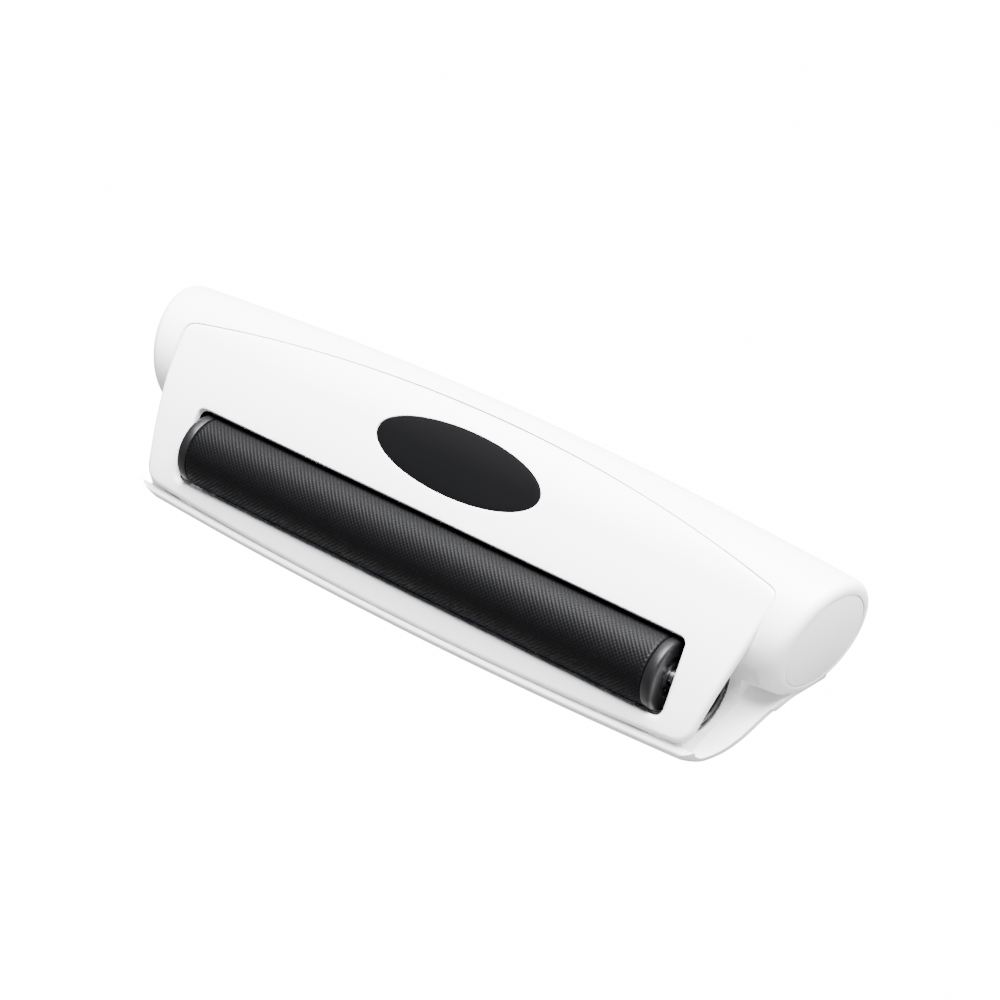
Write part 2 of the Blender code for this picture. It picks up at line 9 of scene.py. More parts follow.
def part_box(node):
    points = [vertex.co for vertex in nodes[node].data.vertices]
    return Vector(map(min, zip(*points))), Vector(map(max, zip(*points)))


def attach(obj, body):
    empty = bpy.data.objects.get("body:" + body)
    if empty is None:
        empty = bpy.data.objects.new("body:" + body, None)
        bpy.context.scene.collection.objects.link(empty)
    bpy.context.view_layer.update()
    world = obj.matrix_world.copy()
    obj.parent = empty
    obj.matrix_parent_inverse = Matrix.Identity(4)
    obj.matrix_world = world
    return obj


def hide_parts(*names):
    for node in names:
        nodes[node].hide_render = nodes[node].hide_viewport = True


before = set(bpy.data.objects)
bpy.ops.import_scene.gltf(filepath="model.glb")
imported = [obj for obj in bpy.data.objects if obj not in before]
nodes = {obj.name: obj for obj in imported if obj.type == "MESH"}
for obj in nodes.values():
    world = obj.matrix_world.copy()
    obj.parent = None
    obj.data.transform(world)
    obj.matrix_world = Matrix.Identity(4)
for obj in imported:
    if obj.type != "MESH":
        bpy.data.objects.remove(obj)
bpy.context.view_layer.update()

# The object's own frame: x along the roller, u from nose to barrel, n out of the cover, mm
mm = 0.001
body = {"endX": 87.0, "endSlant": 0.2236, "height": 13.9, "depth": 17.5, "bow": 0.00051,
        "wall": 1.8, "gap": 0.3, "seam": 0.12, "rimRound": 2.4}
trayLine = [(-6.0, -26.5), (-9.6, -23.6), (-13.5, -20.4), (-16.5, -19.0), (-19.5, -17.9),
            (-23.0, -16.9), (-27.0, -16.1), (-31.0, -15.6), (-33.8, -14.9), (-35.4, -13.7),
            (-36.05, -12.0), (-36.1, -10.0), (-35.7, -8.3)]
bodySide = [(91.0, 18.0), (83.4, -13.6), (82.1, -16.8), (80.5, -22.9), (79.4, -25.9),
            (77.9, -28.7), (76.2, -31.0), (74.5, -32.8), (72.2, -34.0), (69.0, -35.2),
            (64.0, -37.5)]
bulkheadOuter = [(75.3, 20.0), (75.3, -19.0), (73.2, -28.0), (72.3, -33.0), (71.6, -40.0)]
bulkheadWall = 3.8
noseBow = 1.95
noseTop = -8.3
cover = {"wall": 1.8, "radius": 80.0, "rearMiddle": 12.8, "rearCorner": (79.4, 3.5),
         "side": [(78.3, -7.0), (76.8, -15.5), (74.9, -25.0)], "frontCorner": (73.7, -31.7),
         "frontMiddle": -34.4, "rearRound": 3.0, "frontRound": 5.0, "edgeRound": 0.9}
window = {"half": 66.0, "rear": -12.45, "front": -28.8, "round": 2.2, "crisp": 0.3,
          "soft": 1.6, "softStart": 3.0, "softRun": 9.0}
roller = {"u": -20.3, "n": -6.2, "radius": 8.0, "half": 64.3, "capWidth": 2.8, "sleeveWall": 1.3,
          "around": 48, "pitch": 1.05, "knurlDepth": 0.34, "perPitch": 4}
button = {"half": 21.67, "wide": 7.33, "recess": 0.15, "thick": 1.6, "edgeRound": 0.3,
          "holeRound": 0.2}
disc = {"radius": 11.3, "thick": 1.8}
rest = {"angle": math.radians(23.784)}

# The axle's middle is a known point of both frames, so it gives the shift between them.
turnUp = Matrix.Rotation(rest["angle"], 4, "X")
low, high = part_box("roller_axle")
axleWorld = (Vector(low) + Vector(high)) / 2
axleOwn = Vector((0.0, roller["u"], roller["n"])) * mm
toWorld = Matrix.Translation(axleWorld - turnUp @ axleOwn) @ turnUp
print("frame ready", [round(v, 5) for v in toWorld.translation])


# materials
# sRGB hex to linear
def linear(hexColour):
    out = []
    for i in (0, 2, 4):
        value = int(hexColour[i:i + 2], 16) / 255
        out.append(value / 12.92 if value <= 0.04045 else ((value + 0.055) / 1.055) ** 2.4)
    return (*out, 1.0)


# One shader node with its settings, its constants and its incoming links
def addNode(tree, kind, settings=None, links=None):
    node = tree.nodes.new(kind)
    for key, value in (settings or {}).items():
        if hasattr(node, key):
            setattr(node, key, value)
        else:
            node.inputs[key].default_value = value
    for socket, source in (links or {}).items():
        tree.links.new(source, node.inputs[socket])
    return node


def newMaterial(name):
    made = bpy.data.materials.new(name)
    made.use_nodes = True
    made.node_tree.nodes.clear()
    return made, made.node_tree


# Moulded plastic: an even colour with a faint cloudiness and the fine grain of the mould
def satinPlastic(name, settings):
    made, tree = newMaterial(name)
    where = addNode(tree, "ShaderNodeTexCoord")
    cloud = addNode(tree, "ShaderNodeTexNoise", {"Scale": 1 / settings["cloudSize"], "Detail": 3.0},
                    {"Vector": where.outputs["Object"]})
    colour = addNode(tree, "ShaderNodeMix", {"data_type": "RGBA"})
    colour.inputs[6].default_value = linear(settings["colour"])
    colour.inputs[7].default_value = linear(settings["second"])
    tree.links.new(cloud.outputs["Fac"], colour.inputs[0])
    rough = addNode(tree, "ShaderNodeMapRange",
                    {"To Min": settings["roughness"] - 0.03, "To Max": settings["roughness"] + 0.03},
                    {"Value": cloud.outputs["Fac"]})
    grain = addNode(tree, "ShaderNodeTexNoise", {"Scale": 1 / settings["grainSize"], "Detail": 2.0},
                    {"Vector": where.outputs["Object"]})
    bump = addNode(tree, "ShaderNodeBump", {"Strength": settings["grain"],
                                            "Distance": settings["grainHeight"]},
                   {"Height": grain.outputs["Fac"]})
    shader = addNode(tree, "ShaderNodeBsdfPrincipled",
                     {"IOR": settings["ior"], "Specular IOR Level": settings.get("gloss", 0.5)},
                     {"Base Color": colour.outputs[2], "Roughness": rough.outputs["Result"],
                      "Normal": bump.outputs["Normal"]})
    addNode(tree, "ShaderNodeOutputMaterial", links={"Surface": shader.outputs["BSDF"]})
    return made


# Housing, cover and end discs: clean white, soft broad highlights, no visible texture.
whiteAbs = satinPlastic("white_satin_abs_injection_moulded",
                        {"colour": "F2F2F3", "second": "EFEFF1", "cloudSize": 0.05,
                         "roughness": 0.40, "grain": 0.05, "grainSize": 0.0004,
                         "grainHeight": 0.00001, "ior": 1.53})
# Roller caps and bearing blocks: near black with a soft sheen.
blackAbs = satinPlastic("black_satin_abs_injection_moulded",
                        {"colour": "0A0A0B", "second": "0C0C0E", "cloudSize": 0.02,
                         "gloss": 0.2, "roughness": 0.42, "grain": 0.08, "grainSize": 0.0004,
                         "grainHeight": 0.00002, "ior": 1.53})
# Oval button: flat charcoal, almost no highlight.
mattBlack = satinPlastic("matt_black_fine_textured_abs",
                         {"colour": "050506", "second": "060607", "cloudSize": 0.02,
                          "gloss": 0.03, "roughness": 0.66, "grain": 0.25, "grainSize": 0.0003,
                          "grainHeight": 0.00003, "ior": 1.5})
# Roller sleeve: black rubber whose knurl tips catch a cool grey light.
knurledRubber = satinPlastic("black_nitrile_rubber_moulded_knurl",
                             {"colour": "060607", "second": "08080A", "cloudSize": 0.004,
                              "gloss": 0.07, "roughness": 0.48, "grain": 0.1, "grainSize": 0.0002,
                              "grainHeight": 0.00002, "ior": 1.52})
# Latch, comb and core: milky grey, slightly waxy.
greyAcetal = satinPlastic("natural_acetal_injection_moulded",
                          {"colour": "C9C9C6", "second": "D2D2CF", "cloudSize": 0.01,
                           "roughness": 0.38, "grain": 0.05, "grainSize": 0.0004,
                           "grainHeight": 0.00001, "ior": 1.48})


# Turned and ground steel: fine lines round the axle, bright between them
def groundSteel():
    made, tree = newMaterial("bright_steel_turned_and_ground")
    where = addNode(tree, "ShaderNodeTexCoord")
    stretch = addNode(tree, "ShaderNodeMapping", {"Scale": (9000.0, 300.0, 300.0)},
                      {"Vector": where.outputs["Object"]})
    lines = addNode(tree, "ShaderNodeTexNoise", {"Scale": 1.0, "Detail": 2.0},
                    {"Vector": stretch.outputs["Vector"]})
    rough = addNode(tree, "ShaderNodeMapRange", {"To Min": 0.18, "To Max": 0.34},
                    {"Value": lines.outputs["Fac"]})
    shader = addNode(tree, "ShaderNodeBsdfPrincipled",
                     {"Base Color": linear("C8C8CA"), "Metallic": 1.0},
                     {"Roughness": rough.outputs["Result"]})
    addNode(tree, "ShaderNodeOutputMaterial", links={"Surface": shader.outputs["BSDF"]})
    return made


brightSteel = groundSteel()


def paint(node, material):
    for slot in node.material_slots:
        slot.material = material


for name in ("stripper_comb", "latch_bar", "latch_guide", "roller_core"):
    paint(nodes[name], greyAcetal)
for name in ("guide_screw_left", "guide_screw_right", "latch_spring", "roller_axle"):
    paint(nodes[name], brightSteel)
print("materials ready")


# mesh helpers
def newObject(name, mesh):
    made = bpy.data.objects.new(name, mesh)
    bpy.context.scene.collection.objects.link(made)
    return made


# Skin over equal rings of (x, u, n) points, faces outwards
def loft(name, rings, caps=True, ringsClose=False):
    shape = bmesh.new()
    rows = [[shape.verts.new(Vector(point) * mm) for point in ring] for ring in rings]
    count = len(rows[0])
    pairs = list(zip(rows, rows[1:]))
    if ringsClose:
        pairs.append((rows[-1], rows[0]))
    for first, second in pairs:
        for i in range(count):
            j = (i + 1) % count
            shape.faces.new((first[i], first[j], second[j], second[i]))
    if caps and not ringsClose:
        shape.faces.new(rows[0][::-1])
        shape.faces.new(rows[-1])
    bmesh.ops.recalc_face_normals(shape, faces=shape.faces)
    mesh = bpy.data.meshes.new(name)
    shape.to_mesh(mesh)
    shape.free()
    return newObject(name, mesh)


def xPrism(name, outline, start, stop):
    return loft(name, [[(x, u, n) for u, n in outline] for x in (start, stop)])


def planPrism(name, outline, lowN, highN):
    return loft(name, [[(x, u, n) for x, u in outline] for n in (lowN, highN)])


def circleRing(x, radius, u, n, count):
    return [(x, u + radius * math.cos(math.tau * i / count),
             n + radius * math.sin(math.tau * i / count)) for i in range(count)]


# Solid of revolution about a line along x
def turned(name, profile, u, n, count, closed=False):
    rings = [circleRing(x, radius, u, n, count) for x, radius in profile]
    return loft(name, rings, ringsClose=closed)


def combine(thing, tool, how):
    step = thing.modifiers.new(how.lower(), "BOOLEAN")
    step.solver = "MANIFOLD"
    step.operation = how
    step.object = tool
    graph = bpy.context.evaluated_depsgraph_get()
    thing.data = bpy.data.meshes.new_from_object(thing.evaluated_get(graph))
    thing.modifiers.clear()
    bpy.data.objects.remove(tool)
    return thing


def cut(thing, tool):
    return combine(thing, tool, "DIFFERENCE")


def unite(thing, tool):
    return combine(thing, tool, "UNION")


def common(thing, tool):
    return combine(thing, tool, "INTERSECT")


# Into the row frame, shaded, on its body and in place of its CAD nodes
def place(thing, material, bodyName, replaced, slotName, sharp=34.0):
    thing.data.transform(toWorld)
    thing.data.materials.clear()
    thing.data.materials.append(material)
    thing.data.shade_smooth()
    thing.data.set_sharp_from_angle(angle=math.radians(sharp))
    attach(thing, bodyName)
    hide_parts(*replaced)
    return thing


# shared curves
# Polygon with its corners replaced by arcs
def rounded(points, radii, steps=10):
    out = []
    count = len(points)
    for i, (here, radius) in enumerate(zip(points, radii)):
        if radius <= 0:
            out.append(tuple(here))
            continue
        before = Vector(points[i - 1]) - Vector(here)
        after = Vector(points[(i + 1) % count]) - Vector(here)
        reach = min(radius / math.tan(before.angle(after) / 2),
                    0.95 * before.length, 0.95 * after.length)
        first = Vector(here) + before.normalized() * reach
        last = Vector(here) + after.normalized() * reach
        for k in range(steps + 1):
            t = k / steps
            point = first * (1 - t) ** 2 + Vector(here) * 2 * t * (1 - t) + last * t * t
            out.append((point.x, point.y))
    return out


# Catmull-Rom curve through the points
def smoothCurve(points, perSpan):
    padded = [points[0]] + list(points) + [points[-1]]
    out = []
    for i in range(1, len(padded) - 2):
        a, b, c, d = (Vector(padded[i + k]) for k in (-1, 0, 1, 2))
        for k in range(perSpan):
            t = k / perSpan
            point = 0.5 * (2 * b + (c - a) * t + (2 * a - 5 * b + 4 * c - d) * t * t
                           + (3 * b - a - 3 * c + d) * t ** 3)
            out.append(tuple(point))
    out.append(tuple(points[-1]))
    return out


def mirrored(side):
    return side + [(-x, u) for x, u in reversed(side)]


def halfDepth(x):
    return body["depth"] - body["bow"] * x * x


# Height of the surface that lies the given distance under the cover's surface
def below(u, drop):
    if u <= 0:
        return -u * u / (2 * cover["radius"]) - drop
    share = min(1.0, u / (body["depth"] - drop))
    return -body["height"] + (body["height"] - drop) * math.sqrt(1 - share * share)


# Plan outline of the cover with its rounded corners
def coverOutline(perEdge=48):
    cornerX, cornerU = cover["rearCorner"]
    frontX, frontU = cover["frontCorner"]
    rise = cover["rearMiddle"] - cornerU
    drop = cover["frontMiddle"] - frontU
    rear = [(cornerX * k / perEdge, cover["rearMiddle"] - rise * (k / perEdge) ** 2)
            for k in range(perEdge + 1)]
    front = [(frontX * k / perEdge, cover["frontMiddle"] - drop * (k / perEdge) ** 2)
             for k in range(perEdge, -1, -1)]
    side = smoothCurve([rear[-1]] + cover["side"] + [front[0]], 4)
    right = trimmed(rear, cover["rearRound"]) + [rear[-1]] + side[3:-3] + [front[0]]
    right += trimmed(front[::-1], cover["frontRound"])[::-1]
    radii = []
    for point in right:
        radii.append(cover["rearRound"] if point == rear[-1] else
                     cover["frontRound"] if point == front[0] else 0.0)
    whole = right + [(-x, u) for x, u in reversed(right[1:-1])]
    return rounded(whole, radii + radii[-2:0:-1])


# The line without the points near its last one, to make room for a corner arc
def trimmed(line, radius):
    last = Vector(line[-1])
    return [point for point in line if (Vector(point) - last).length > 1.3 * radius]


# Closed outline moved outwards along its corner normals
def grown(outline, amount):
    count = len(outline)
    area = sum(outline[i - 1][0] * outline[i][1] - outline[i][0] * outline[i - 1][1]
               for i in range(count))
    sense = 1.0 if area > 0 else -1.0
    out = []
    for i in range(count):
        here = Vector(outline[i])
        before = (here - Vector(outline[i - 1])).normalized()
        after = (Vector(outline[(i + 1) % count]) - here).normalized()
        normal = Vector((before.y + after.y, -before.x - after.x)).normalized() * sense
        flat = Vector((before.y, -before.x)) * sense
        out.append(tuple(here + normal * amount / max(0.5, normal.dot(flat))))
    return out


def ellipseOutline(halfX, halfU, count=128):
    return [(halfX * math.cos(math.tau * i / count), halfU * math.sin(math.tau * i / count))
            for i in range(count)]


def insideOutline(point, outline):
    x, y = point
    inside = False
    for i in range(len(outline)):
        ax, ay = outline[i - 1]
        bx, by = outline[i]
        if (ay > y) != (by > y) and x < (bx - ax) * (y - ay) / (by - ay) + ax:
            inside = not inside
    return inside


# Sheet of moulded plastic over a plan outline with holes; rounds gives, for each loop, the
# rounding of its upper edge at a point of the outline
def slab(name, outer, holes, topAt, bottomAt, rounds, grid):
    steps = 5
    shape = bmesh.new()
    loops = [(outer, -1.0)] + [(hole, 1.0) for hole in holes]
    topLoops = []
    bottomLoops = []
    for (outline, way), roundAt in zip(loops, rounds):
        rows = []
        sizes = [roundAt(x, u) for x, u in outline]
        moved = grown(outline, way)
        for k in range(steps + 1):
            turn = math.pi / 2 * (k / steps)
            row = []
            for (x, u), (gx, gu), size in zip(outline, moved, sizes):
                inset = size * (1 - math.sin(turn))
                sink = size * (1 - math.cos(turn))
                x, u = x + (gx - x) * inset, u + (gu - u) * inset
                row.append(shape.verts.new(Vector((x, u, topAt(x, u) - sink)) * mm))
            rows.append(row)
        rows.append([shape.verts.new(Vector((x, u, bottomAt(x, u))) * mm) for x, u in outline])
        for first, second in zip(rows, rows[1:]):
            for i in range(len(first)):
                shape.faces.new((first[i - 1], first[i], second[i], second[i - 1]))
        topLoops.append(rows[0])
        bottomLoops.append(rows[-1])
    for vertLoops in (topLoops, bottomLoops):
        flat = []
        edges = []
        known = []
        for loop in vertLoops:
            start = len(flat)
            flat += [Vector((v.co.x / mm, v.co.y / mm)) for v in loop]
            known += loop
            edges += [(start + i, start + (i + 1) % len(loop)) for i in range(len(loop))]
        outlines = [[tuple(v) for v in flat[a:b]] for a, b in spans(vertLoops)]
        atTop = vertLoops is topLoops
        extra = []
        lowX = min(v.x for v in flat)
        highX = max(v.x for v in flat)
        lowU = min(v.y for v in flat)
        highU = max(v.y for v in flat)
        for i in range(int((highX - lowX) / grid[0]) + 1):
            for j in range(int((highU - lowU) / grid[1]) + 1):
                point = (lowX + (i + 0.5) * grid[0], lowU + (j + 0.5) * grid[1])
                if not insideOutline(point, outlines[0]):
                    continue
                if any(insideOutline(point, line) for line in outlines[1:]):
                    continue
                if min((Vector(point) - v).length for v in flat) > 0.45 * grid[1]:
                    extra.append(Vector(point))
        found, _, faces, origins, _, _ = delaunay_2d_cdt(flat + extra, edges, [], 0, 1e-6)
        verts = []
        for index, co in enumerate(found):
            source = [k for k in origins[index] if k < len(known)]
            if source:
                verts.append(known[source[0]])
                continue
            height = topAt(co.x, co.y) if atTop else bottomAt(co.x, co.y)
            verts.append(shape.verts.new(Vector((co.x, co.y, height)) * mm))
        for face in faces:
            middle = sum((found[k] for k in face), Vector((0.0, 0.0))) / len(face)
            if not insideOutline(middle, outlines[0]):
                continue
            if any(insideOutline(middle, line) for line in outlines[1:]):
                continue
            corners = [verts[k] for k in face]
            if len(set(corners)) == len(corners):
                try:
                    shape.faces.new(corners)
                except ValueError:
                    continue
    bmesh.ops.recalc_face_normals(shape, faces=shape.faces)
    loose = [v for v in shape.verts if not v.link_faces]
    bmesh.ops.delete(shape, geom=loose, context="VERTS")
    mesh = bpy.data.meshes.new(name)
    shape.to_mesh(mesh)
    shape.free()
    return newObject(name, mesh)


def spans(loops):
    start = 0
    out = []
    for loop in loops:
        out.append((start, start + len(loop)))
        start += len(loop)
    return out


# top cover: one thin convex moulding
def coverTop(x, u):
    return below(u, 0.0)


def coverBottom(x, u):
    return below(u, cover["wall"])


windowCorners = [(-window["half"], window["front"]), (window["half"], window["front"]),
                 (window["half"], window["rear"]), (-window["half"], window["rear"])]
windowOutline = rounded(windowCorners, [window["round"]] * 4)
buttonHole = ellipseOutline(button["half"] + body["seam"], button["wide"] + body["seam"])


# Crisp along the rear edge, broad and soft along the front edge and its corners
def windowRound(x, u):
    share = max(0.0, min(1.0, (window["rear"] - window["softStart"] - u) / window["softRun"]))
    return window["crisp"] + (window["soft"] - window["crisp"]) * share * share * (3 - 2 * share)


coverPiece = slab("top_cover_shell", coverOutline(), [windowOutline, buttonHole], coverTop,
                  coverBottom, [lambda x, u: cover["edgeRound"], windowRound,
                                lambda x, u: button["holeRound"]], (2.0, 0.9))
place(coverPiece, whiteAbs, "cover", ["top_cover"], "white_abs", 40.0)
print("cover", len(coverPiece.data.polygons))


# oval button
def buttonTop(x, u):
    return below(u, button["recess"])


def buttonBottom(x, u):
    return below(u, button["recess"] + button["thick"])


buttonPiece = slab("oval_button_cap", ellipseOutline(button["half"], button["wide"]), [],
                   buttonTop, buttonBottom, [lambda x, u: button["edgeRound"]], (1.2, 0.6))
place(buttonPiece, mattBlack, "button", ["oval_button"], "matt_black", 40.0)
print("button", len(buttonPiece.data.polygons))


# roller: knurled sleeve and smooth caps
# Two families of V grooves cross and leave small flat-topped diamonds
def knurledSleeve():
    half = roller["half"] - roller["capWidth"]
    periods = round(2 * half / roller["pitch"])
    per = roller["perPitch"]
    around = roller["around"] * per
    along = periods * per
    rings = []
    inner = roller["radius"] - roller["sleeveWall"]
    rings.append([(-half, inner)] * around)
    for j in range(along + 1):
        row = []
        for i in range(around):
            first = (i + j) / per
            second = (i - j) / per
            groove = max(abs(first % 1.0 - 0.5), abs(second % 1.0 - 0.5)) * 2
            height = min(1.0, (1 - groove) * 1.6)
            edge = min(1.0, j / (per * 0.5), (along - j) / (per * 0.5))
            fall = roller["knurlDepth"] * (1 - height * edge)
            row.append((-half + 2 * half * j / along, roller["radius"] - fall))
        rings.append(row)
    rings.append([(half, inner)] * around)
    shaped = []
    for ring in rings:
        shaped.append([(x, roller["u"] + r * math.cos(math.tau * i / around),
                        roller["n"] + r * math.sin(math.tau * i / around))
                       for i, (x, r) in enumerate(ring)])
    return loft("roller_sleeve_knurled", shaped, ringsClose=True)


sleevePiece = knurledSleeve()
place(sleevePiece, knurledRubber, "roller", ["roller_sleeve"], "black_rubber", 80.0)
print("sleeve", len(sleevePiece.data.polygons))


def rollerCap(side, name):
    start = roller["half"] - roller["capWidth"] + 0.2
    end = roller["half"]
    radius = roller["radius"] - 0.1
    loop = [(start - 5.0, 1.8), (start - 5.0, 3.7), (start, 3.7), (start, radius - 0.5),
            (start + 0.15, radius - 0.15), (start + 0.45, radius)]
    loop += [(end - 0.9 + 0.9 * math.sin(k * math.pi / 12), radius - 0.9 + 0.9 * math.cos(
        k * math.pi / 12)) for k in range(0, 7)]
    loop += [(end, 4.6), (end - 0.35, 4.3), (end - 0.35, 2.9), (end, 2.6), (end, 1.8)]
    return turned(name, [(side * x, r) for x, r in loop], roller["u"], roller["n"], 96, True)


for side, word in ((-1, "left"), (1, "right")):
    cap = rollerCap(side, "roller_cap_" + word)
    place(cap, blackAbs, "roller", ["roller_end_cap_" + word], "black_abs")
print("roller caps")


# bearing blocks
block = {"inner": 66.6, "outer": 73.0, "radius": 8.4, "topDrop": 0.8, "slotHalf": 1.8,
         "slotEnd": 72.3, "seatGap": 0.3, "grooveDepth": 0.5, "grooves": ((4.6, 5.6), (6.9, 7.3))}


def bearingBlock(side, name):
    inner, outer, radius = block["inner"], block["outer"], block["radius"]
    profile = [(inner, radius - 0.5), (inner + 0.15, radius - 0.15), (inner + 0.5, radius)]
    profile += [(outer - 0.6 + 0.6 * math.sin(k * math.pi / 8), radius - 0.6 + 0.6 * math.cos(
        k * math.pi / 8)) for k in range(0, 5)]
    shell = turned(name, [(side * x, r) for x, r in profile], roller["u"], roller["n"], 96)
    slope = -roller["u"] / cover["radius"]
    level = below(roller["u"], cover["wall"] + block["topDrop"])
    top = [(roller["u"] - 20, level - 20 * slope), (roller["u"] + 20, level + 20 * slope),
           (roller["u"] + 20, 20.0), (roller["u"] - 20, 20.0)]
    shell = cut(shell, xPrism("top", top, -99.0, 99.0))
    half = block["slotHalf"]
    slot = [(roller["u"] - half, 5.0)]
    slot += [(roller["u"] - half * math.cos(k * math.pi / 16),
              roller["n"] - half * math.sin(k * math.pi / 16)) for k in range(0, 17)]
    slot += [(roller["u"] + half, 5.0)]
    reach = sorted((side * (inner - 1), side * block["slotEnd"]))
    shell = cut(shell, xPrism("slot", slot, reach[0], reach[1]))
    floorOfGroove = outer - block["grooveDepth"]
    for radiusIn, radiusOut in block["grooves"]:
        groove = [(floorOfGroove, radiusIn), (floorOfGroove, radiusOut), (outer + 1, radiusOut),
                  (outer + 1, radiusIn)]
        shell = cut(shell, turned("groove", [(side * x, r) for x, r in groove], roller["u"],
                                  roller["n"], 96, True))
    return shell


for side, word in ((-1, "left"), (1, "right")):
    blockPiece = bearingBlock(side, "bearing_block_shell_" + word)
    place(blockPiece, blackAbs, "housing", ["bearing_block_" + word], "black_abs")
print("bearing blocks")


# lower housing
def barrelSolid(name, shrink, stop, count=144):
    stations = [4.0 * k for k in range(20)] + [79.0, 82.0]

    def ring(x, inset, slant):
        depth = halfDepth(min(x, body["endX"])) - shrink - inset
        height = body["height"] - shrink - inset
        points = []
        for i in range(count):
            angle = math.tau * (i + 0.5) / count
            u = depth * math.cos(angle)
            points.append((x + slant * u, u, -body["height"] + height * math.sin(angle)))
        return points

    rings = [ring(x, 0.0, body["endSlant"] * max(0.0, min(1.0, (x - 62.0) / 18.0)))
             for x in stations if x < stop - 3.0 * (shrink == 0) - 0.5]
    if shrink == 0:
        for k in range(9):
            turn = math.pi / 2 * k / 8
            rings.append(ring(stop - body["rimRound"] * (1 - math.sin(turn)),
                              body["rimRound"] * (1 - math.cos(turn)), body["endSlant"]))
    else:
        rings.append(ring(stop, 0.0, body["endSlant"] * max(0.0, min(1.0, (stop - 62.0) / 18.0))))
    left = [[(-x, u, n) for x, u, n in points] for points in reversed(rings[1:])]
    return loft(name, left + rings)


def trayRings(line, stations):
    rings = []
    for x in stations:
        shift = noseBow * (x / 75.0) ** 2
        rings.append([(x, u + shift * min(1.0, max(0.0, -u / 30.0)), n) for u, n in line])
    return rings


def offsetLine(line, amount):
    out = []
    for i, here in enumerate(line):
        along = (Vector(line[min(len(line) - 1, i + 1)]) - Vector(line[max(0, i - 1)])).normalized()
        out.append((here[0] + along.y * amount, here[1] - along.x * amount))
    return out


trayFine = smoothCurve(trayLine, 5)
fineStations = [-95.0, -85.0] + [-80.0 + 4.0 * k for k in range(41)] + [85.0, 95.0]


def traySolid():
    nose = [(-35.5, -8.08), (-35.2, -7.98), (-34.9, -7.98), (-34.5, -7.98)]
    inside = [(-33.7, -7.98), (-33.1, -6.9), (-26.0, -3.6), (-14.0, -1.4), (-6.0, -0.6),
              (-1.0, -4.0), (-1.0, -22.0)]
    solid = loft("tray", trayRings(trayFine + nose + inside, fineStations))
    side = smoothCurve(bodySide, 6)
    return common(solid, planPrism("plan", mirrored(side), -40.0, 12.0))


def hollowLine():
    line = [(u, n) for u, n in offsetLine(trayFine, body["wall"])
            if u < -1.0 and n < noseTop - 0.5]
    return [(-1.0, line[0][1])] + line[1:] + [(-34.2, 8.0), (-1.0, 8.0)]


def bulkheadFace(amount):
    return mirrored([(x - amount, u) for x, u in bulkheadOuter])


# A piece made about the x axis, moved onto a slanted end face
def endPlace(thing, side):
    turn = Matrix.Rotation(-side * math.atan(body["endSlant"]), 4, "Z")
    flip = Matrix.Scale(-1.0, 4, Vector((1.0, 0.0, 0.0))) if side < 0 else Matrix.Identity(4)
    middle = Vector((side * body["endX"], 0.0, -body["height"])) * mm
    thing.data.transform(Matrix.Translation(middle) @ turn @ flip)
    if side < 0:
        thing.data.flip_normals()
    return thing


# The space of the cover with a fine gap all round
def coverPocket():
    stations = [-42.0 + 0.8 * k for k in range(72)]
    drop = cover["wall"] + body["seam"]
    lower = [(u, below(u, drop)) for u in stations if u < 14.4]
    block = xPrism("pocket", lower + [(lower[-1][0], 12.0), (lower[0][0], 12.0)], -95.0, 95.0)
    return common(block, planPrism("plan", grown(coverOutline(), body["seam"]), -30.0, 20.0))


def lowerHousing():
    shell = traySolid()
    outboard = loft("outboard", trayRings(hollowLine(), fineStations))
    outboard = cut(outboard, planPrism("plan", bulkheadFace(0.0), -40.0, 12.0))
    shell = cut(shell, outboard)
    chamber = loft("chamber", trayRings(hollowLine(), fineStations))
    chamber = common(chamber, planPrism("plan", bulkheadFace(bulkheadWall), -40.0, 12.0))
    shell = cut(shell, chamber)
    print("tray cut")
    shell = unite(shell, barrelSolid("barrel", 0.0, body["endX"]))
    lintBin = common(barrelSolid("bin", body["wall"], 74.0),
                     planPrism("plan", bulkheadFace(bulkheadWall), -40.0, 12.0))
    mouth = xPrism("mouth", [(-1.5, -21.6), (-12.6, -21.0), (-14.6, -18.3), (-15.8, -17.2),
                             (-18.9, -16.0), (-19.5, 8.0), (-1.5, 8.0)], -71.2, 71.2)
    shell = cut(shell, unite(lintBin, mouth))
    shell = cut(shell, coverPocket())
    print("pocket cut")
    for side in (-1, 1):
        recess = turned("recess", [(-disc["thick"] - body["gap"], disc["radius"]),
                                   (4.0, disc["radius"])], 0.0, 0.0, 128)
        shell = cut(shell, endPlace(recess, side))
        seatRadius = block["radius"] + block["seatGap"]
        seat = turned("seat", [(side * 65.0, seatRadius), (side * 80.0, seatRadius)],
                      roller["u"], roller["n"], 96)
        shell = cut(shell, seat)
    return shell


housingPiece = lowerHousing()
housingPiece.name = housingPiece.data.name = "lower_housing_shell"
place(housingPiece, whiteAbs, "housing", ["lower_housing"], "white_abs", 30.0)
# The two lines it rests on are moulded flat.
for vertex in housingPiece.data.vertices:
    vertex.co.z = max(0.0, vertex.co.z)
print("housing", len(housingPiece.data.polygons))


# end discs
for side, word in ((-1, "left"), (1, "right")):
    edge = disc["radius"] - 0.16
    profile = [(-disc["thick"], edge), (-0.25, edge), (-0.18, edge - 0.04), (-0.06, edge - 0.16),
               (-0.02, edge - 0.3)]
    capPiece = endPlace(turned("end_disc_" + word, profile, 0.0, 0.0, 128), side)
    place(capPiece, whiteAbs, "housing", ["end_cap_" + word], "white_abs")
print("end discs")

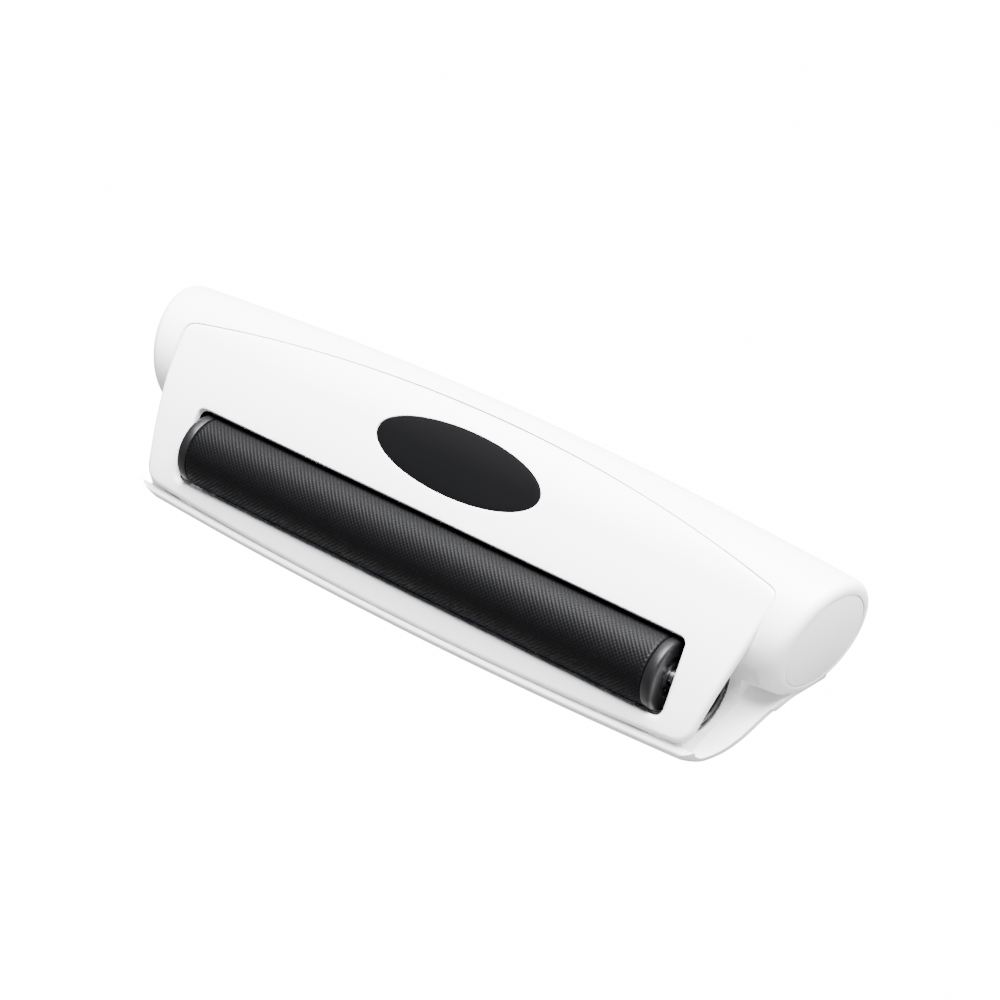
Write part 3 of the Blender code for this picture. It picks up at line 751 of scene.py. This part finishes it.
# floor, light and camera
floorMesh = bpy.data.meshes.new("studio_floor")
reach = 3.0
floorMesh.from_pydata([(-reach, -reach, 0.0), (reach, -reach, 0.0), (reach, reach, 0.0),
                       (-reach, reach, 0.0)], [], [(0, 1, 2, 3)])
floor = newObject("studio_floor", floorMesh)
paper, paperTree = newMaterial("white_studio_paper")
# Overexposed to the eye, but only a mild bounce card for the object.
paperShader = addNode(paperTree, "ShaderNodeBsdfPrincipled",
                      {"Base Color": linear("6E6E6E"), "Roughness": 0.9})
paperGlow = addNode(paperTree, "ShaderNodeEmission", {"Strength": 16.0})
paperRay = addNode(paperTree, "ShaderNodeLightPath")
paperMix = addNode(paperTree, "ShaderNodeMixShader",
                   links={"Fac": paperRay.outputs["Is Camera Ray"]})
paperTree.links.new(paperShader.outputs["BSDF"], paperMix.inputs[1])
paperTree.links.new(paperGlow.outputs["Emission"], paperMix.inputs[2])
addNode(paperTree, "ShaderNodeOutputMaterial", links={"Surface": paperMix.outputs["Shader"]})
floorMesh.materials.append(paper)

sky = bpy.data.worlds.new("studio")
sky.use_nodes = True
sky.node_tree.nodes["Background"].inputs["Color"].default_value = (1.0, 1.0, 1.0, 1.0)
sky.node_tree.nodes["Background"].inputs["Strength"].default_value = 0.5
bpy.context.scene.world = sky


def softBox(name, place, aim, size, power):
    light = bpy.data.lights.new(name, "AREA")
    light.shape = "RECTANGLE"
    light.size, light.size_y = size
    light.energy = power
    box = bpy.data.objects.new(name, light)
    bpy.context.scene.collection.objects.link(box)
    box.location = place
    box.rotation_euler = (Vector(aim) - Vector(place)).to_track_quat("-Z", "Y").to_euler()
    return box


softBox("overhead", (0.12, 0.4, 0.9), (0.0, 0.0, 0.0), (0.9, 0.7), 140.0)
softBox("right_fill", (0.9, -0.35, 0.35), (0.0, 0.0, 0.0), (0.5, 0.4), 3.5)

eye = toWorld @ (Vector((320.65, -55.47, 536.54)) * mm)
turn = turnUp.to_3x3()
right = turn @ Vector((0.7874, 0.4643, -0.4056))
upward = turn @ Vector((-0.3674, 0.8817, 0.2961))
toward = turn @ Vector((0.4950, -0.0841, 0.8648))
lens = bpy.data.cameras.new("three_quarter_view")
lens.lens = 107.4
lens.sensor_width = 36.0
lens.clip_start = 0.01
camera = bpy.data.objects.new("three_quarter_view", lens)
bpy.context.scene.collection.objects.link(camera)
camera.matrix_world = Matrix(((right.x, upward.x, toward.x, eye.x),
                              (right.y, upward.y, toward.y, eye.y),
                              (right.z, upward.z, toward.z, eye.z), (0.0, 0.0, 0.0, 1.0)))
bpy.context.scene.camera = camera
